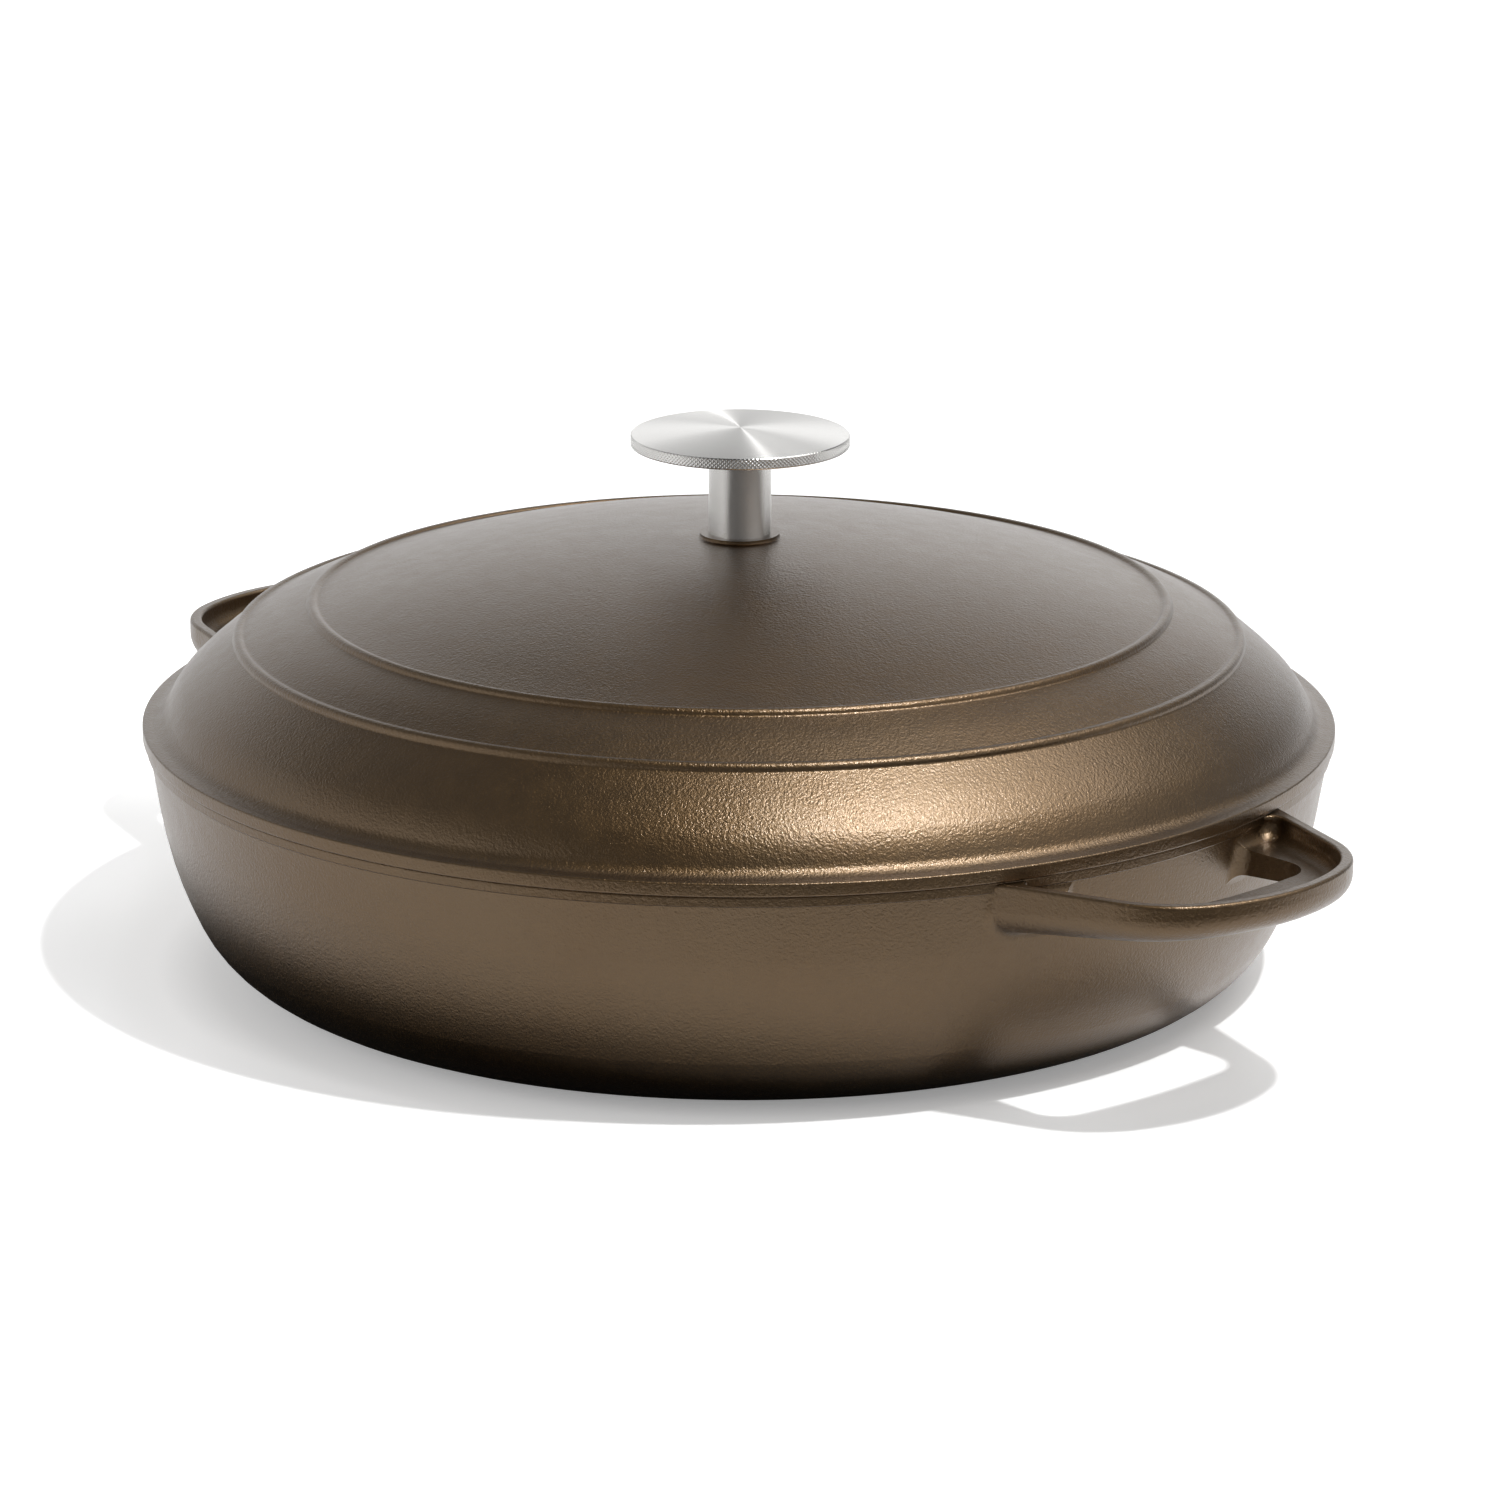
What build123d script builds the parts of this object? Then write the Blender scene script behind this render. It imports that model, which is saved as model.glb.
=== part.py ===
from build123d import *
import math
import os

# A round cast-iron braiser: a shallow pan with two loop handles, and a domed lid with a turned knob.
# Lengths are millimetres. The origin is the centre of the pan's underside, +Z is up, and the
# handles lie along +X and -X.

# Pan body
rim_radius = 151.8
pan_height = 62.0
pan_wall = 4.2
base_inset = 38.6
corner_radius = 29.3
wall_slope = 9.5
wall_straight_height = 18.0
rim_band_height = 2.8
rim_band_step = 0.3
rim_round = 0.7

# Loop handles
handle_projection = 43.6
handle_drop = 0.5
handle_height = 9.0
handle_nose_radius = 57.7
handle_corner_radius = 30.0
handle_half_width = 46.6
handle_side_slope = 19.2
handle_under_slope = 4.5
handle_under_round = 6.5
lip_width = 3.3
lip_round = 0.9
web_thickness = 3.0
junction_fillet = 3.5
hole_depth = 22.7
hole_half_width = 31.5
hole_corner_radius = 9.0

# Lid casting
lid_overhang = 0.9
lid_rim_height = 3.4
lid_wall = 4.0
lid_edge_round = 0.5
lid_ledge = 2.4
lid_ledge_rise = 0.4
lid_fillet = 3.0
dome_height = 50.5
dome_radius = 360.0
shoulder_radius = 95.0
skirt_radius = 91.0
outer_bead_inset = 24.7
bead_spacing = 18.8
bead_round = 1.5
bead_proud = 1.15
bead_fillet = 0.8
drip_ridge_shares = (0.42, 0.66)
ridge_width = 3.0
ridge_crest = 1.4
ridge_height = 1.1
ring_clearance = 1.4
ring_width = 3.0
ring_depth = 4.0
ring_chamfer = 0.8
boss_margin = 2.2
boss_height = 0.9
boss_fillet = 0.6
pad_margin = 6.0
pad_height = 1.2

# Knob, its screw and the lock washer
knob_radius = 27.9
knob_band = 2.9
knob_crown = 1.7
knob_chamfer = 0.25
stem_radius = 8.0
stem_length = 22.8
screw_radius = 3.0
screw_length = 16.0
screw_hole_clearance = 0.4
thread_clearance = 0.05
tapped_spare = 2.0
screw_head_radius = 6.0
screw_head_height = 3.6
screw_head_round = 1.6
screw_tip_chamfer = 0.5
recess_length = 6.2
recess_width = 1.3
recess_depth = 2.2
washer_clearance = 0.2
washer_width = 2.6
washer_thickness = 1.6
washer_split = 1.0

# One overrun for every cutting tool that has to pass a surface, and the gap that counts as none
overrun = 5.0
tolerance = overrun / 1e5


def polar(centre, radius, angle):
    """The point at an angle, in degrees, on a circle in the section plane."""
    turn = math.radians(angle)
    return (centre[0] + radius * math.cos(turn), centre[1] + radius * math.sin(turn))


def bearing(centre, point):
    """The angle, in degrees, at which a point is seen from a centre."""
    return math.degrees(math.atan2(point[1] - centre[1], point[0] - centre[0]))


def arc(centre, radius, start, end):
    """An arc of the section plane from one angle to another, in degrees."""
    return CenterArc(centre, radius, start, end - start)


def chain(*pieces):
    """A closed face from arcs and the points between them; straight lines fill the gaps."""
    edges = []
    tail = None
    first = None
    for piece in pieces:
        is_arc = not isinstance(piece, tuple)
        head = piece @ 0 if is_arc else Vector(*piece)
        if tail is None:
            first = head
        elif (head - tail).length > tolerance:
            edges.append(Line(tail, head))
        if is_arc:
            edges.append(piece)
            tail = piece @ 1
        else:
            tail = head
    if (first - tail).length > tolerance:
        edges.append(Line(tail, first))
    return make_face(edges)


def strip(inner, outer, bottom, top):
    """A rectangle of the section plane between two radii and two heights."""
    return chain((inner, bottom), (outer, bottom), (outer, top), (inner, top))


def soften(face, radius, *points):
    """The face with the corner nearest to each point rounded."""
    corners = [face.vertices().sort_by_distance(Vector(*point))[0] for point in points]
    return fillet(corners, radius)


def crossing(centre_a, radius_a, centre_b, radius_b, near):
    """Of the two points where a pair of circles cross, the one nearer to a given point."""
    gap = math.dist(centre_a, centre_b)
    along = (radius_a**2 - radius_b**2 + gap**2) / (2 * gap)
    half_chord = math.degrees(math.acos(along / radius_a))
    axis_angle = bearing(centre_a, centre_b)
    candidates = [polar(centre_a, radius_a, axis_angle + turn) for turn in (half_chord, -half_chord)]
    return min(candidates, key=lambda point: math.dist(point, near))


def spin(section):
    """The solid that a section, drawn as radius and height, sweeps about the vertical axis."""
    return revolve(Plane.YZ * section, axis=Axis.Z)


# Pan: the side leans out in a straight stretch under the rim, and a long arc that is tangent to it
# and to the corner arc joins them. The blanks for it are drawn an overrun higher than the rim, so
# that the handles meet a plain wall before the rim is cut.
base_radius = rim_radius - base_inset
blank_top = pan_height + overrun
corner_centre = (base_radius, corner_radius)
wall_lean = math.tan(math.radians(wall_slope))
foot_radius = rim_radius - rim_band_step - wall_straight_height * wall_lean
straight_foot = (foot_radius, pan_height - wall_straight_height)
foot_gap = math.dist(corner_centre, straight_foot)
foot_share = math.cos(math.radians(bearing(corner_centre, straight_foot) + wall_slope))
sweep_radius = (foot_gap**2 - corner_radius**2) / (2 * (foot_gap * foot_share - corner_radius))
sweep_centre = polar(straight_foot, -sweep_radius, -wall_slope)
sweep_start_angle = bearing(sweep_centre, corner_centre)


def wall_radius(inset, height):
    """The radius of the wall's straight stretch at a height."""
    level_inset = inset / math.cos(math.radians(wall_slope))
    return foot_radius + (height - straight_foot[1]) * wall_lean - level_inset


def pan_blank(inset):
    """The pan's outside, or with an inset its inside, as a solid of revolution."""
    section = chain(
        (0, inset),
        arc(corner_centre, corner_radius - inset, -90, sweep_start_angle),
        arc(sweep_centre, sweep_radius - inset, sweep_start_angle, -wall_slope),
        (wall_radius(inset, blank_top), blank_top),
        (0, blank_top),
    )
    return spin(section)


# Handles: the top of the lip lies just under the rim, the web lies at the bottom, and the
# underside slopes down towards the pan, so that the casting is deepest at its root
handle_reach = rim_radius + handle_projection
handle_top = pan_height - handle_drop
handle_bottom = handle_top - handle_height
pocket_floor = handle_bottom + web_thickness
hole_outer_radius = rim_radius + hole_depth
under_lean = math.tan(math.radians(handle_under_slope))
root_bottom = handle_bottom - (handle_reach - base_radius) * under_lean


def handle_outline(inset):
    """The handle seen from above, drawn in by an inset: a curved nose, two corners, two sides."""
    slope = math.tan(math.radians(handle_side_slope))
    nose_radius = handle_nose_radius - inset
    nose_centre = handle_reach - handle_nose_radius
    side_inset = inset / math.cos(math.radians(handle_side_slope))
    half_at_centre = handle_half_width - side_inset + slope * (rim_radius - nose_centre)
    # The side line meets the nose circle where run is the distance from the nose's centre.
    reach = math.sqrt((1 + slope**2) * nose_radius**2 - half_at_centre**2)
    run = (slope * half_at_centre + reach) / (1 + slope**2)
    corner = (nose_centre + run, half_at_centre - slope * run)
    root = (base_radius, half_at_centre + slope * (nose_centre - base_radius))
    nose = ThreePointArc((corner[0], -corner[1]), (nose_centre + nose_radius, 0), corner)
    face = make_face(
        [
            Line((root[0], -root[1]), (corner[0], -corner[1])),
            nose,
            Line(corner, root),
            Line(root, (root[0], -root[1])),
        ]
    )
    outer_corners = face.vertices().sort_by(Axis.X)[-2:]
    return fillet(outer_corners, handle_corner_radius - inset)


def finger_hole():
    """The slot through the handle's web, from the pan's side out to an arc about its centre."""
    outer = math.sqrt(hole_outer_radius**2 - hole_half_width**2)
    face = make_face(
        [
            Line((base_radius, -hole_half_width), (outer, -hole_half_width)),
            ThreePointArc((outer, -hole_half_width), (hole_outer_radius, 0), (outer, hole_half_width)),
            Line((outer, hole_half_width), (base_radius, hole_half_width)),
            Line((base_radius, hole_half_width), (base_radius, -hole_half_width)),
        ]
    )
    return fillet(face.vertices().sort_by(Axis.X)[-2:], hole_corner_radius)


def handle_blank():
    """One handle with a lip that runs up to the top of the blank, a sharp pocket and its hole."""
    start = root_bottom - overrun
    block = Pos(0, 0, start) * extrude(handle_outline(0), blank_top - start)
    underside = Plane((handle_reach, 0, handle_bottom), z_dir=(-under_lean, 0, 1))
    block = split(block, bisect_by=underside, keep=Keep.TOP)
    under_edges = block.faces().sort_by(Axis.Z)[0].edges().sort_by(Axis.X)[1:]
    block = fillet(under_edges, handle_under_round)
    block -= Pos(0, 0, pocket_floor) * extrude(handle_outline(lip_width), blank_top)
    block -= Pos(0, 0, start) * extrude(finger_hole(), handle_top - start)
    return block


def is_blended(edge):
    """True where a handle meets the pan's wall, and round the floor of its pocket."""
    middle = edge.center()
    off_wall = abs(math.hypot(middle.X, middle.Y) - wall_radius(0, middle.Z))
    at_wall_height = straight_foot[1] + tolerance < middle.Z < blank_top - tolerance
    on_wall = off_wall < tolerance and at_wall_height and edge.geom_type != GeomType.LINE
    past_hole = abs(middle.X) > hole_outer_radius + tolerance or abs(middle.Y) > hole_half_width + tolerance
    return on_wall or (past_hole and abs(middle.Z - pocket_floor) < tolerance)


def pan():
    body = pan_blank(0)
    loop = handle_blank()
    body += loop
    body += Rot(0, 0, 180) * loop
    body = fillet([edge for edge in body.edges() if is_blended(edge)], junction_fillet)

    # Cut level with the handles, round the whole top edge, and add the rim band above it.
    spread = 2 * handle_reach + overrun
    waste = Box(spread, spread, blank_top, align=(Align.CENTER, Align.CENTER, Align.MIN))
    body -= Pos(0, 0, handle_top) * waste
    body = fillet(body.faces().sort_by(Axis.Z)[-1].edges(), lip_round)
    band_bottom = pan_height - rim_band_height
    band = chain(
        (0, band_bottom),
        (rim_radius - rim_band_step, band_bottom),
        (rim_radius, band_bottom + rim_band_step),
        (rim_radius, pan_height),
        (0, pan_height),
    )
    body += spin(band)
    body -= pan_blank(pan_wall)
    return fillet(body.faces().sort_by(Axis.Z)[-1].edges(), rim_round)


# Lid: a dome, a shoulder between two beads and a skirt, on a flat flange that rests on the pan's rim
lid_radius = rim_radius + lid_overhang
dome_top = pan_height + dome_height
dome_centre = (0, dome_top - dome_radius)
outer_bead_radius = lid_radius - outer_bead_inset
inner_bead_radius = outer_bead_radius - bead_spacing
inner_bead_angle = math.degrees(math.acos(inner_bead_radius / dome_radius))
inner_bead_point = polar(dome_centre, dome_radius, inner_bead_angle)
shoulder_centre = polar(inner_bead_point, -shoulder_radius, inner_bead_angle)
outer_bead_angle = math.degrees(math.acos((outer_bead_radius - shoulder_centre[0]) / shoulder_radius))
outer_bead_point = polar(shoulder_centre, shoulder_radius, outer_bead_angle)
flange_top = pan_height + lid_rim_height
ledge_point = (lid_radius - lid_ledge, flange_top + lid_ledge_rise)
half_skirt = math.dist(outer_bead_point, ledge_point) / 2
skirt_turn = math.degrees(math.asin(half_skirt / skirt_radius))
skirt_bearing = bearing(outer_bead_point, ledge_point) - 90 + skirt_turn
skirt_centre = polar(outer_bead_point, skirt_radius, skirt_bearing)
boss_top = dome_top + boss_height
boss_radius = stem_radius + boss_margin
pad_bottom = dome_top - lid_wall - pad_height
screw_hole_radius = screw_radius + screw_hole_clearance
ring_outer_radius = wall_radius(pan_wall, pan_height) - ring_clearance
ring_inner_radius = ring_outer_radius - ring_width
ring_bottom = pan_height - ring_depth


def lid_outline():
    skirt_start = bearing(skirt_centre, ledge_point)
    skirt_end = bearing(skirt_centre, outer_bead_point)
    return chain(
        (0, pan_height),
        (lid_radius, pan_height),
        (lid_radius, flange_top),
        ledge_point,
        arc(skirt_centre, skirt_radius, skirt_start, skirt_end),
        arc(shoulder_centre, shoulder_radius, outer_bead_angle, inner_bead_angle),
        arc(dome_centre, dome_radius, inner_bead_angle, 90),
    )


def lid_hollow():
    """The space under the lid, one wall inside the outline and ending at the locating ring."""
    skirt_inside = skirt_radius - lid_wall
    shoulder_inside = shoulder_radius - lid_wall
    kink = crossing(shoulder_centre, shoulder_inside, skirt_centre, skirt_inside, outer_bead_point)
    foot_angle = math.degrees(math.acos((ring_inner_radius - skirt_centre[0]) / skirt_inside))
    return chain(
        (0, ring_bottom),
        (ring_inner_radius, ring_bottom),
        arc(skirt_centre, skirt_inside, foot_angle, bearing(skirt_centre, kink)),
        arc(shoulder_centre, shoulder_inside, bearing(shoulder_centre, kink), inner_bead_angle),
        arc(dome_centre, dome_radius - lid_wall, inner_bead_angle, 90),
    )


def bead(face, centre):
    """The face with a bead's circle added and its two feet rounded."""
    face += Pos(*centre) * Circle(bead_round)
    middle = Vector(*centre)
    distances = [((corner.center() - middle).length, corner) for corner in face.vertices()]
    feet = [corner for distance, corner in distances if abs(distance - bead_round) < tolerance]
    return fillet(feet, bead_fillet)


def locating_ring():
    """The ring under the lid that drops inside the pan's rim, with its two lower corners cut."""
    return chain(
        (ring_inner_radius, flange_top),
        (ring_inner_radius, ring_bottom + ring_chamfer),
        (ring_inner_radius + ring_chamfer, ring_bottom),
        (ring_outer_radius - ring_chamfer, ring_bottom),
        (ring_outer_radius, ring_bottom + ring_chamfer),
        (ring_outer_radius, flange_top),
    )


def drip_ridge(share):
    """A low ridge under the dome, from which steam that has turned to water drips back."""
    ceiling = dome_radius - lid_wall
    middle = math.degrees(math.acos(share * inner_bead_radius / dome_radius))
    foot = math.degrees(ridge_width / 2 / ceiling)
    crest = math.degrees(ridge_crest / 2 / ceiling)
    return chain(
        polar(dome_centre, ceiling + ridge_height, middle - foot),
        polar(dome_centre, ceiling, middle - foot),
        polar(dome_centre, ceiling - ridge_height, middle - crest),
        polar(dome_centre, ceiling - ridge_height, middle + crest),
        polar(dome_centre, ceiling, middle + foot),
        polar(dome_centre, ceiling + ridge_height, middle + foot),
    )


def lid():
    section = lid_outline() + locating_ring() - lid_hollow()
    for share in drip_ridge_shares:
        section += drip_ridge(share)
    section += strip(0, boss_radius, dome_top - lid_wall, boss_top)
    section += strip(0, screw_head_radius + pad_margin, pad_bottom, dome_top - lid_wall / 2)
    section = soften(section, lid_fillet, ledge_point)
    section = soften(section, lid_edge_round, (lid_radius, pan_height), (lid_radius, flange_top))
    section = soften(section, boss_fillet, (boss_radius, dome_top))
    outward = bead_proud - bead_round
    section = bead(section, polar(dome_centre, dome_radius + outward, inner_bead_angle))
    section = bead(section, polar(shoulder_centre, shoulder_radius + outward, outer_bead_angle))
    section -= strip(0, screw_hole_radius, pad_bottom - overrun, boss_top + overrun)
    return spin(section)


# Knob: one turned piece, held from inside the lid by a screw and a split lock washer
washer_bottom = pad_bottom - washer_thickness
screw_end = washer_bottom + screw_length
knob_underside = boss_top + stem_length
knob_shoulder = knob_underside + knob_band


def knob():
    edge_radius = knob_radius - knob_chamfer
    crown_radius = (edge_radius**2 + knob_crown**2) / (2 * knob_crown)
    crown_centre = (0, knob_shoulder + knob_crown - crown_radius)
    section = chain(
        (0, boss_top),
        (stem_radius, boss_top),
        (stem_radius, knob_underside),
        (edge_radius, knob_underside),
        (knob_radius, knob_underside + knob_chamfer),
        (knob_radius, knob_shoulder - knob_chamfer),
        arc(crown_centre, crown_radius, bearing(crown_centre, (edge_radius, knob_shoulder)), 90),
    )
    section -= strip(0, screw_radius + thread_clearance, boss_top - overrun, screw_end + tapped_spare)
    return spin(section)


def knob_screw():
    head_bottom = washer_bottom - screw_head_height
    round_centre = (screw_head_radius - screw_head_round, head_bottom + screw_head_round)
    section = chain(
        (0, head_bottom),
        arc(round_centre, screw_head_round, -90, 0),
        (screw_head_radius, washer_bottom),
        (screw_radius, washer_bottom),
        (screw_radius, screw_end - screw_tip_chamfer),
        (screw_radius - screw_tip_chamfer, screw_end),
        (0, screw_end),
    )
    slot = Box(recess_length, recess_width, 2 * recess_depth)
    return spin(section) - Pos(0, 0, head_bottom) * (slot + Rot(0, 0, 90) * slot)


def lock_washer():
    inner = screw_radius + washer_clearance
    outer = inner + washer_width
    ring = spin(strip(inner, outer, washer_bottom, pad_bottom))
    cut = Box(outer + overrun, washer_split, washer_thickness, align=(Align.MIN, Align.CENTER, Align.MIN))
    return ring - Pos(0, 0, washer_bottom) * cut


parts = {
    "pan": pan(),
    "lid": lid(),
    "knob": knob(),
    "knob_screw": knob_screw(),
    "lock_washer": lock_washer(),
}

os.makedirs("parts", exist_ok=True)
for name, solid in parts.items():
    export_step(solid, f"parts/{name}.step")
    print(name, len(solid.solids()), round(solid.volume), solid.bounding_box().size)
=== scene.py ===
import math

import bmesh
import bpy
from mathutils import Matrix, Vector


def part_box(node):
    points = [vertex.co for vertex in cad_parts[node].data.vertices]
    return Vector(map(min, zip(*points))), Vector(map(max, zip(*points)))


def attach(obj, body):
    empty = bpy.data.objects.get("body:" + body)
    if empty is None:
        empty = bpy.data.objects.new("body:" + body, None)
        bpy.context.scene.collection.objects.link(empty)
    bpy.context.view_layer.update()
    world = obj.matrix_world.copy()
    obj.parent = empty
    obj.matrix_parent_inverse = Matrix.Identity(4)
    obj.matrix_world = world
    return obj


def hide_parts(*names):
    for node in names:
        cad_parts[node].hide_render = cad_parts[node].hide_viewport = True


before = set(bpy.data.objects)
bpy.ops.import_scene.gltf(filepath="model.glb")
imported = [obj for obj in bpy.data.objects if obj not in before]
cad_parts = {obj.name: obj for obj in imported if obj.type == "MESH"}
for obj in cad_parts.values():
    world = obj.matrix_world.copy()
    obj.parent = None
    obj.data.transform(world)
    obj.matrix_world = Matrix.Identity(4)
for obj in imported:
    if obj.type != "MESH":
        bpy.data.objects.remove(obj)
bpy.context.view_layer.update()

# A cast-iron braiser in a white studio. Lengths are metres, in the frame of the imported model:
# +Z is up, the pan stands on z = 0 and its handles lie along +X and -X.
MM = 0.001
FULL_TURN = 2 * math.pi
WHITE = (1, 1, 1, 1)


# Camera: found from the circles of the lid, the rim, the base and the knob
VIEW_TURN = math.radians(47.1)
CAMERA_DISTANCE = 1836.8 * MM
CAMERA_HEIGHT = 570.9 * MM
CAMERA_YAW = math.radians(0.09)
CAMERA_PITCH = math.radians(15.67)
CAMERA_ROLL = math.radians(-0.28)
LEVEL_TILT = math.radians(90)
SENSOR_WIDTH = 36.0
FOCAL_PIXELS = 7420.0
FRAME_PIXELS = 1500.0
CLIP_START = 0.05
CLIP_END = 50.0


def in_view(right, back, up):
    """A direction given as seen from the camera's side, turned into the frame."""
    return Matrix.Rotation(VIEW_TURN, 3, "Z") @ Vector((right, back, up))


def add_camera():
    data = bpy.data.cameras.new("camera")
    data.sensor_width = SENSOR_WIDTH
    data.lens = FOCAL_PIXELS / FRAME_PIXELS * SENSOR_WIDTH
    data.clip_start = CLIP_START
    data.clip_end = CLIP_END
    camera = bpy.data.objects.new("camera", data)
    bpy.context.scene.collection.objects.link(camera)
    place = Matrix.Translation(in_view(0, -CAMERA_DISTANCE, CAMERA_HEIGHT))
    heading = Matrix.Rotation(VIEW_TURN - CAMERA_YAW, 4, "Z")
    tilt = Matrix.Rotation(LEVEL_TILT - CAMERA_PITCH, 4, "X")
    roll = Matrix.Rotation(-CAMERA_ROLL, 4, "Z")
    camera.matrix_world = place @ heading @ tilt @ roll
    bpy.context.scene.camera = camera


class Tree:
    """Short names for building one tree of shader nodes."""

    def __init__(self, tree):
        self.nodes = tree.nodes
        self.links = tree.links

    def feed(self, socket, value):
        """Sets a socket, or links it where the value is another node's output."""
        if hasattr(value, "is_linked"):
            self.links.new(value, socket)
        else:
            socket.default_value = value

    def measure(self, operation, place, other):
        """A number found from a place and a fixed vector."""
        node = self.nodes.new("ShaderNodeVectorMath")
        node.operation = operation
        node.inputs[1].default_value = other
        self.links.new(place, node.inputs[0])
        return node.outputs["Value"]

    def along(self, place, axis):
        """How far a place or a direction lies along an axis of the frame."""
        return self.measure("DOT_PRODUCT", place, axis)

    def outward(self, place, centre):
        """How far a place lies from a centre."""
        return self.measure("DISTANCE", place, centre)

    def level(self, value, *stops):
        """A level that follows a value through (value, level) stops, in rising order."""
        start, end = stops[0][0], stops[-1][0]
        share = self.nodes.new("ShaderNodeMapRange")
        share.inputs["From Min"].default_value = start
        share.inputs["From Max"].default_value = end
        self.links.new(value, share.inputs["Value"])
        shares = [((at - start) / (end - start), level) for at, level in stops]
        return self.ramp(share.outputs["Result"], *shares)

    def ramp(self, value, *stops):
        """A colour or grey ramp through (position, colour) stops."""
        node = self.nodes.new("ShaderNodeValToRGB")
        elements = node.color_ramp.elements
        while len(elements) < len(stops):
            elements.new(0.5)
        for element, (position, colour) in zip(elements, stops):
            if not isinstance(colour, tuple):
                colour = (colour, colour, colour)
            element.position = position
            element.color = (*colour, 1.0)
        self.links.new(value, node.inputs["Fac"])
        return node.outputs["Color"]

    def blend(self, share, first, second, kind="MIX"):
        node = self.nodes.new("ShaderNodeMix")
        node.data_type = "RGBA"
        node.blend_type = kind
        for socket, value in ((node.inputs[0], share), (node.inputs[6], first), (node.inputs[7], second)):
            self.feed(socket, (*value, 1.0) if isinstance(value, tuple) else value)
        return node.outputs[2]

    def combine(self, operation, first, second):
        node = self.nodes.new("ShaderNodeMath")
        node.operation = operation
        self.feed(node.inputs[0], first)
        self.feed(node.inputs[1], second)
        return node.outputs[0]

    def to_camera(self):
        return self.nodes.new("ShaderNodeLightPath").outputs["Is Camera Ray"]


class Shading(Tree):
    """One material, shaded by the place on the object."""

    def __init__(self, name):
        self.material = bpy.data.materials.new(name)
        self.material.use_nodes = True
        super().__init__(self.material.node_tree)
        self.shader = self.nodes["Principled BSDF"]
        self.place = self.nodes.new("ShaderNodeTexCoord").outputs["Object"]

    def noise(self, grain, detail=2.0, roughness=0.5):
        """A noise whose features are about one grain across, in metres."""
        node = self.nodes.new("ShaderNodeTexNoise")
        node.inputs["Scale"].default_value = 1.0 / grain
        node.inputs["Detail"].default_value = detail
        node.inputs["Roughness"].default_value = roughness
        self.links.new(self.place, node.inputs["Vector"])
        return node.outputs["Fac"]

    def bump(self, height, distance, onto=None):
        node = self.nodes.new("ShaderNodeBump")
        node.inputs["Distance"].default_value = distance
        node.inputs["Strength"].default_value = 1.0
        self.links.new(height, node.inputs["Height"])
        if onto is not None:
            self.links.new(onto, node.inputs["Normal"])
        return node.outputs["Normal"]

    def set(self, **values):
        for name, value in values.items():
            self.feed(self.shader.inputs[name.replace("_", " ")], value)


# Studio: a pale backdrop behind and to the left, a dim ceiling and a dim room to the right and in
# front, one lamp high to the right, two soft panels on its side, and a white table
LAMP_PLACE = (606 * MM, -604 * MM, 1710 * MM)
LAMP_RADIUS = 35 * MM
LAMP_POWER = 84.0
DIM_SIDE = (0.819, -0.574, 0.0)
# Levels of the room as (direction's share along an axis, level)
SIDE_LEVELS = (
    (-1.0, 0.66),
    (-0.88, 0.74),
    (-0.66, 0.92),
    (-0.48, 1.04),
    (-0.28, 1.10),
    (-0.02, 0.34),
    (0.4, 0.25),
    (0.8, 0.32),
    (1.0, 0.34),
)
HEIGHT_LEVELS = ((-1.0, 1.0), (0.40, 1.0), (0.52, 0.38), (0.85, 0.22), (1.0, 0.12))
# Soft panels as (direction, share where it fades out, share where it is full, level)
PANELS = (
    ((0.423, 0.114, 0.899), 0.90, 0.965, 2.4),
    ((0.66, -0.34, 0.67), 0.70, 0.96, 0.52),
)
# The table as (distance, level); the object sees it end in front, and sees painted shade darken it under
# the pan
FLOOR_RADIUS = 8.0
FLOOR_SEGMENTS = 64
FLOOR_ROUGHNESS = 0.9
FLOOR_COLOUR = (0.93, 0.93, 0.93)
FAR_FLOOR = (0.10, 0.10, 0.10)
TABLE_FRONT = (0.342, -0.94, 0.0)
TABLE_END = ((240 * MM, 0.0), (300 * MM, 1.0))
# Centre and (distance, level) stops of the painted shade that darkens the table under the pan
PAINTED_SHADE_CENTRE = (-20 * MM, -16 * MM, 0.0)
PAINTED_SHADE_UNDER_PAN = ((116 * MM, 0.08), (130 * MM, 0.2), (138 * MM, 0.55), (148 * MM, 1.0))
# The glow that the camera sees in the table's shadows: from the pan outward, from left to right, and
# far away, where the table turns as white as the backdrop
GLOW_CENTRE = (10 * MM, 0.0, 0.0)
GLOW_OUTWARD = ((120 * MM, 0.26), (128 * MM, 0.31), (134 * MM, 0.37), (146 * MM, 0.41), (160 * MM, 0.56))
GLOW_ACROSS = (
    (-185 * MM, 0.45),
    (-160 * MM, 0.57),
    (-145 * MM, 0.58),
    (-110 * MM, 0.50),
    (-50 * MM, 0.42),
    (0.0, 0.41),
    (120 * MM, 0.24),
)
GLOW_FAR = ((400 * MM, 0.0), (900 * MM, 1.0))


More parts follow.
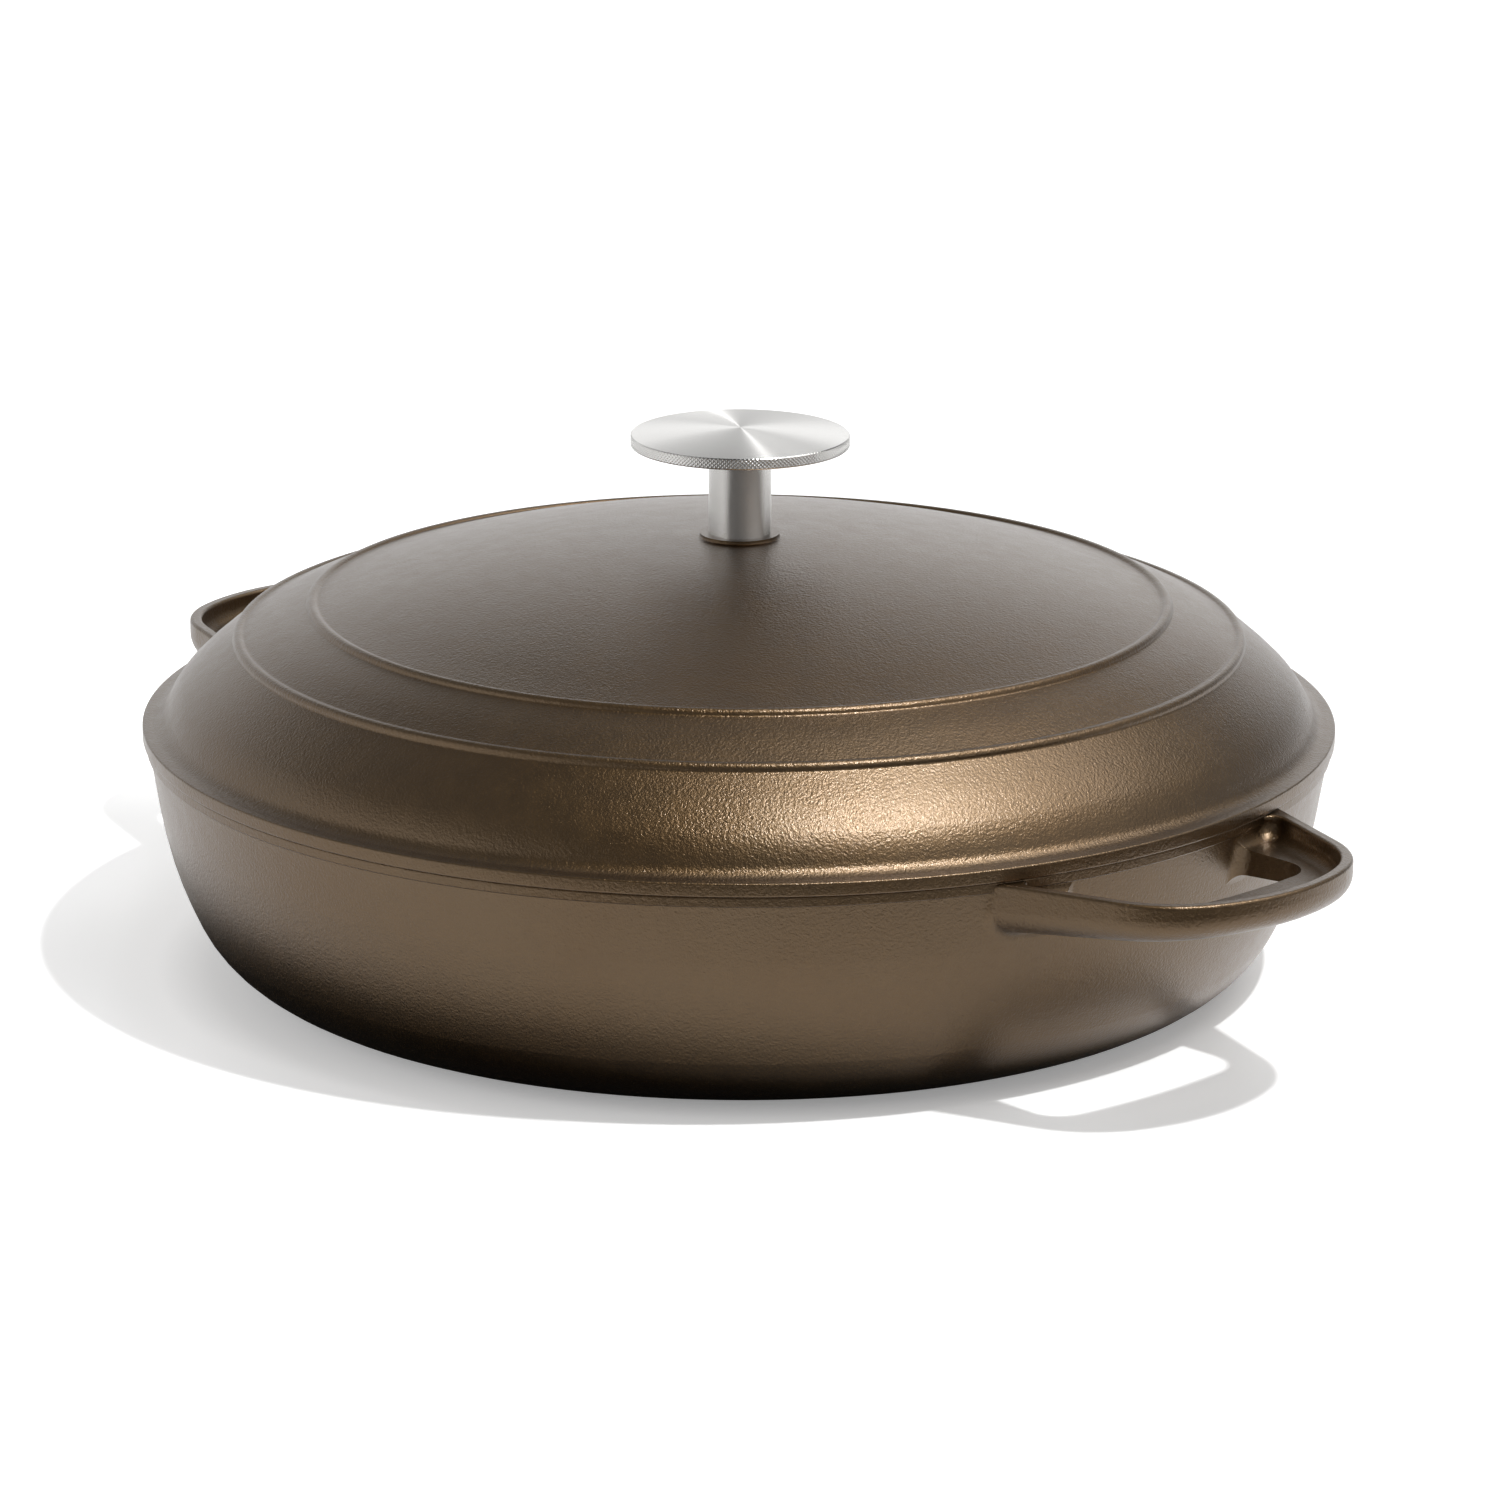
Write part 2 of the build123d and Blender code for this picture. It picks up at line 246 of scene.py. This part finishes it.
def add_room():
    """White to the camera; to the object, the studio."""
    world = bpy.data.worlds.new("studio")
    bpy.context.scene.world = world
    world.use_nodes = True
    world.node_tree.nodes.clear()
    look = Tree(world.node_tree)
    heading = look.nodes.new("ShaderNodeTexCoord").outputs["Generated"]
    by_side = look.level(look.along(heading, in_view(*DIM_SIDE)), *SIDE_LEVELS)
    by_height = look.level(look.along(heading, (0, 0, 1)), *HEIGHT_LEVELS)
    brightness = look.combine("MULTIPLY", by_side, by_height)
    for direction, fades, full, level in PANELS:
        panel = look.nodes.new("ShaderNodeMapRange")
        panel.interpolation_type = "SMOOTHSTEP"
        for name, value in (("From Min", fades), ("From Max", full), ("To Max", level)):
            panel.inputs[name].default_value = value
        look.feed(panel.inputs["Value"], look.along(heading, in_view(*direction)))
        brightness = look.combine("ADD", brightness, panel.outputs[0])
    room = look.nodes.new("ShaderNodeBackground")
    room.inputs["Color"].default_value = WHITE
    look.feed(room.inputs["Strength"], brightness)
    white = look.nodes.new("ShaderNodeBackground")
    white.inputs["Color"].default_value = WHITE
    seen = look.nodes.new("ShaderNodeMixShader")
    for socket, value in zip(seen.inputs, (look.to_camera(), room.outputs[0], white.outputs[0])):
        look.feed(socket, value)
    look.feed(look.nodes.new("ShaderNodeOutputWorld").inputs["Surface"], seen.outputs[0])


def add_lamp():
    light = bpy.data.lights.new("lamp", "POINT")
    light.energy = LAMP_POWER
    light.shadow_soft_size = LAMP_RADIUS
    lamp = bpy.data.objects.new("lamp", light)
    lamp.location = in_view(*LAMP_PLACE)
    lamp.visible_camera = False
    bpy.context.scene.collection.objects.link(lamp)


def floor_white():
    """The table's white: the object sees it end in front and sees painted shade under the pan; the camera
    sees a glow of painted light that lifts its shadows.
    """
    look = Shading("floor_white")
    outward = look.outward(look.place, in_view(*GLOW_CENTRE))
    painted_shade_reach = look.outward(look.place, in_view(*PAINTED_SHADE_CENTRE))
    forward = look.along(look.place, in_view(*TABLE_FRONT))
    across = look.along(look.place, in_view(1, 0, 0))
    table = look.blend(look.level(forward, *TABLE_END), FLOOR_COLOUR, FAR_FLOOR)
    # Painted shade: the table's colour darkens towards the pan's base, in what the object sees
    table = look.blend(1.0, table, look.level(painted_shade_reach, *PAINTED_SHADE_UNDER_PAN), "MULTIPLY")
    to_camera = look.to_camera()
    glow = look.combine("MINIMUM", look.level(outward, *GLOW_OUTWARD), look.level(across, *GLOW_ACROSS))
    glow = look.combine("MAXIMUM", glow, look.level(outward, *GLOW_FAR))
    look.set(Base_Color=look.blend(to_camera, table, FLOOR_COLOUR))
    look.set(Roughness=FLOOR_ROUGHNESS, Specular_IOR_Level=0.0)
    look.set(Emission_Color=WHITE, Emission_Strength=look.combine("MULTIPLY", to_camera, glow))
    return look.material


def add_floor():
    mesh = bpy.data.meshes.new("floor")
    form = bmesh.new()
    bmesh.ops.create_circle(form, cap_ends=True, segments=FLOOR_SEGMENTS, radius=FLOOR_RADIUS)
    form.to_mesh(mesh)
    form.free()
    floor = bpy.data.objects.new("floor", mesh)
    bpy.context.scene.collection.objects.link(floor)
    mesh.materials.append(floor_white())


# Iron: tones as (noise, colour), gloss as (noise, roughness), and its grain in two sizes
PATCH_SIZE = 70 * MM
PATCH_TONES = ((0.3, (0.113, 0.062, 0.021)), (0.7, (0.125, 0.077, 0.034)))
MOTTLE_SIZE = 6 * MM
MOTTLE_SHARE = 0.2
MOTTLE_TONES = ((0.35, (0.091, 0.052, 0.019)), (0.7, (0.148, 0.086, 0.032)))
IRON_GLOSS = ((0.3, 0.35), (0.7, 0.41))
PEBBLE_SIZE = 1.2 * MM
PEBBLE_HEIGHT = 0.06 * MM
GRIT_SIZE = 0.7 * MM
GRIT_HEIGHT = 0.16 * MM
# Steel: tones as (noise, colour); the quarter turn lays the gloss across the lathe's rings
RING_SIZE = 0.5 * MM
TURNED_TONES = ((0.3, (0.82, 0.81, 0.79)), (0.7, (0.88, 0.87, 0.85)))
ACROSS_RINGS = 0.25
SPECK_SIZE = 1.2 * MM
PLAIN_TONES = ((0.3, (0.50, 0.50, 0.50)), (0.7, (0.62, 0.62, 0.61)))


def cast_iron():
    """Seasoned iron: a deep brown skin under a thin clear film of baked oil, with a cast grain."""
    look = Shading("cast_iron")
    patches = look.noise(PATCH_SIZE, detail=3.0)
    mottle = look.noise(MOTTLE_SIZE, detail=4.0, roughness=0.6)
    pebbles = look.noise(PEBBLE_SIZE, detail=1.0)
    grit = look.noise(GRIT_SIZE, detail=2.0, roughness=0.7)
    tone = look.blend(MOTTLE_SHARE, look.ramp(patches, *PATCH_TONES), look.ramp(mottle, *MOTTLE_TONES))
    normal = look.bump(grit, GRIT_HEIGHT, onto=look.bump(pebbles, PEBBLE_HEIGHT))
    look.set(Base_Color=tone, Metallic=1.0, Roughness=look.ramp(mottle, *IRON_GLOSS), Normal=normal)
    look.set(Coat_Weight=0.85, Coat_Roughness=0.24, Coat_IOR=1.5, Coat_Normal=normal)
    return look.material


def turned_steel():
    """Stainless steel turned on a lathe, so that its shine spreads across the fine rings."""
    look = Shading("turned_steel")
    tone = look.ramp(look.noise(RING_SIZE, detail=3.0), *TURNED_TONES)
    tangent = look.nodes.new("ShaderNodeTangent")
    tangent.direction_type = "RADIAL"
    tangent.axis = "Z"
    look.set(Base_Color=tone, Metallic=1.0, Roughness=0.23, Tangent=tangent.outputs["Tangent"])
    look.set(Anisotropic=1.0, Anisotropic_Rotation=ACROSS_RINGS)
    return look.material


def plain_steel():
    look = Shading("plain_steel")
    tone = look.ramp(look.noise(SPECK_SIZE, detail=2.0), *PLAIN_TONES)
    look.set(Base_Color=tone, Metallic=1.0, Roughness=0.35)
    return look.material


def finish_form(form, name, node, material):
    """Turns a spun form into an object that stands in for a node on the lid's body."""
    bmesh.ops.recalc_face_normals(form, faces=form.faces)
    mesh = bpy.data.meshes.new(name)
    form.to_mesh(mesh)
    form.free()
    mesh.materials.append(material)
    piece = bpy.data.objects.new(name, mesh)
    bpy.context.scene.collection.objects.link(piece)
    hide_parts(node)
    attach(piece, "lid")


# Lid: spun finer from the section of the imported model, so that its beads stay crisp all round
LID_COLUMNS = 540
SAME_POINT = 1e-6
POINT_DIGITS = 6
SHARP_TURN = math.radians(28)
# Foot of the skirt: it turns steep and then hollows out onto the rim
RIM_TOP_WIDTH = 0.5 * MM
FOOT_RADIUS = 142.6 * MM
FOOT_TURN = 28 * MM
HOLLOW_TURN = 4.4 * MM
FOOT_SLOPES = tuple(math.radians(slope) for slope in (-49, -66, -8))
FOOT_STEPS = 8


def lid_section():
    """The closed outline of the lid's section in its own half plane, in order, as (radius, height)."""
    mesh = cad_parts["lid"].data
    at = {}
    for vertex in mesh.vertices:
        if abs(vertex.co.x) < SAME_POINT and vertex.co.y > 0:
            at[vertex.index] = (round(vertex.co.y, POINT_DIGITS), round(vertex.co.z, POINT_DIGITS))
    beside = {}
    for edge in mesh.edges:
        first, second = edge.vertices
        if first in at and second in at and at[first] != at[second]:
            beside.setdefault(at[first], set()).add(at[second])
            beside.setdefault(at[second], set()).add(at[first])
    start = min(beside)
    outline = [start, max(beside[start])]
    while True:
        onward = [point for point in beside[outline[-1]] if point != outline[-2]]
        if start in onward:
            return outline
        outline.append(onward[0])


def turn_along(start, radius, slopes):
    """Points of an arc that leaves a start at one slope and ends at another, hollow where it rises."""
    side = 1 if slopes[1] > slopes[0] else -1
    centre = start + side * radius * Vector((-math.sin(slopes[0]), math.cos(slopes[0])))
    points = []
    for step in range(1, FOOT_STEPS + 1):
        slope = slopes[0] + (slopes[1] - slopes[0]) * step / FOOT_STEPS
        points.append(centre - side * radius * Vector((-math.sin(slope), math.cos(slope))))
    return points


def hollow_foot(outline):
    """The outline with the skirt's foot turned steep and hollowed out above the rim."""
    reach = max(point[0] for point in outline)
    rim = max(index for index, point in enumerate(outline) if point[0] > reach - RIM_TOP_WIDTH)
    skirt = next(index for index, point in enumerate(outline) if index > rim and point[0] < FOOT_RADIUS)
    steep = turn_along(Vector(outline[skirt]), FOOT_TURN, FOOT_SLOPES[:2])
    foot = steep + turn_along(steep[-1], HOLLOW_TURN, FOOT_SLOPES[1:])
    return outline[:rim + 1] + [tuple(point) for point in reversed(foot)] + outline[skirt:]


def add_lid(iron):
    outline = hollow_foot(lid_section())
    form = bmesh.new()
    loops = []
    for column in range(LID_COLUMNS):
        turn = FULL_TURN * column / LID_COLUMNS
        loops.append([form.verts.new((r * math.cos(turn), r * math.sin(turn), z)) for r, z in outline])
    beside = list(zip(loops, loops[1:] + loops[:1]))
    count = len(outline)
    for loop, after in beside:
        for point in range(count):
            onward = (point + 1) % count
            form.faces.new((loop[point], after[point], after[onward], loop[onward])).smooth = True
    for point in range(count):
        before, here, onward = (Vector(outline[(point + step) % count]) for step in (-1, 0, 1))
        if (here - before).angle(onward - here) > SHARP_TURN:
            for loop, after in beside:
                form.edges.get((loop[point], after[point])).smooth = False
    finish_form(form, "spun_lid", "lid", iron)


# Knob: turned, with a diamond knurl round its edge
KNURL_PITCH = 1.05 * MM
KNURL_DEPTH = 0.13 * MM
KNURL_STEPS = 4
GROOVE_REACH = 0.25
STEM_RADIUS = 8.0 * MM
BORE_RADIUS = 3.05 * MM
BORE_DEPTH = 10.3 * MM
EDGE_BAND = 2.9 * MM
EDGE_CHAMFER = 0.25 * MM
CROWN_RISE = 1.7 * MM
CROWN_RINGS = 14


def knurl_depth(around, height):
    """How deep the knurl's two sets of crossing grooves lie at a place on the band."""
    depth = 0.0
    for slant in (around + height, around - height):
        share = (slant / KNURL_PITCH) % 1.0
        depth = max(depth, 1.0 - min(share, 1.0 - share) / GROOVE_REACH)
    return KNURL_DEPTH * depth


def knob_rings(low, high):
    """Rings (radius, height) from the bore's end, down and round the stem, out under the disc, up its
    band and over the crown. Also given: the band's rings, and those that lie on a sharp edge."""
    radius = high[0]
    edge = radius - EDGE_CHAMFER
    shoulder = high[2] - CROWN_RISE
    underside = shoulder - EDGE_BAND
    rings = [(0.0, low[2] + BORE_DEPTH), (BORE_RADIUS, low[2] + BORE_DEPTH), (BORE_RADIUS, low[2])]
    rings += [(STEM_RADIUS, low[2]), (STEM_RADIUS, underside), (edge, underside)]
    rows = KNURL_STEPS * 2 + 2
    band = []
    for row in range(rows + 1):
        share = row / rows
        band.append((radius, underside + EDGE_CHAMFER + share * (EDGE_BAND - 2 * EDGE_CHAMFER)))
    sharp = rings + [band[0], band[-1], (edge, shoulder)]
    rings = rings + band + [(edge, shoulder)]
    crown_radius = (edge**2 + CROWN_RISE**2) / (2 * CROWN_RISE)
    for ring in range(1, CROWN_RINGS):
        ring_radius = edge * (1 - ring / CROWN_RINGS)
        rings.append((ring_radius, high[2] - crown_radius + math.sqrt(crown_radius**2 - ring_radius**2)))
    rings.append((0.0, high[2]))
    return rings, band, sharp


def add_knob(steel):
    low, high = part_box("knob")
    radius = high[0]
    underside = high[2] - CROWN_RISE - EDGE_BAND
    columns = KNURL_STEPS * round(FULL_TURN * radius / KNURL_PITCH)
    rings, band, sharp = knob_rings(low, high)
    form = bmesh.new()
    loops = []
    for ring_radius, height in rings:
        if ring_radius == 0.0:
            loops.append([form.verts.new((0, 0, height))])
            continue
        loop = []
        for column in range(columns):
            angle = FULL_TURN * column / columns
            knurled = (ring_radius, height) in band
            place = ring_radius - (knurl_depth(angle * radius, height - underside) if knurled else 0.0)
            loop.append(form.verts.new((place * math.cos(angle), place * math.sin(angle), height)))
        loops.append(loop)
    for first, second in zip(loops, loops[1:]):
        for column in range(columns):
            after = (column + 1) % columns
            corners = [first[column % len(first)], first[after % len(first)]]
            corners += [second[after % len(second)], second[column % len(second)]]
            form.faces.new(list(dict.fromkeys(corners)))
    for face in form.faces:
        middle = face.calc_center_median()
        face.smooth = math.hypot(middle.x, middle.y) <= radius - EDGE_CHAMFER / 2
    for ring, loop in zip(rings, loops):
        if ring in sharp and len(loop) > 1:
            for column in range(columns):
                side = form.edges.get((loop[column], loop[(column + 1) % columns]))
                side.smooth = False
    finish_form(form, "turned_knob", "knob", steel)


def dress(node, material):
    """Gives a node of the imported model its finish."""
    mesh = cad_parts[node].data
    mesh.materials.clear()
    mesh.materials.append(material)


add_camera()
add_room()
add_lamp()
add_floor()
iron = cast_iron()
dress("pan", iron)
add_lid(iron)
add_knob(turned_steel())
steel = plain_steel()
dress("knob_screw", steel)
dress("lock_washer", steel)
bpy.context.scene.view_settings.view_transform = "Standard"
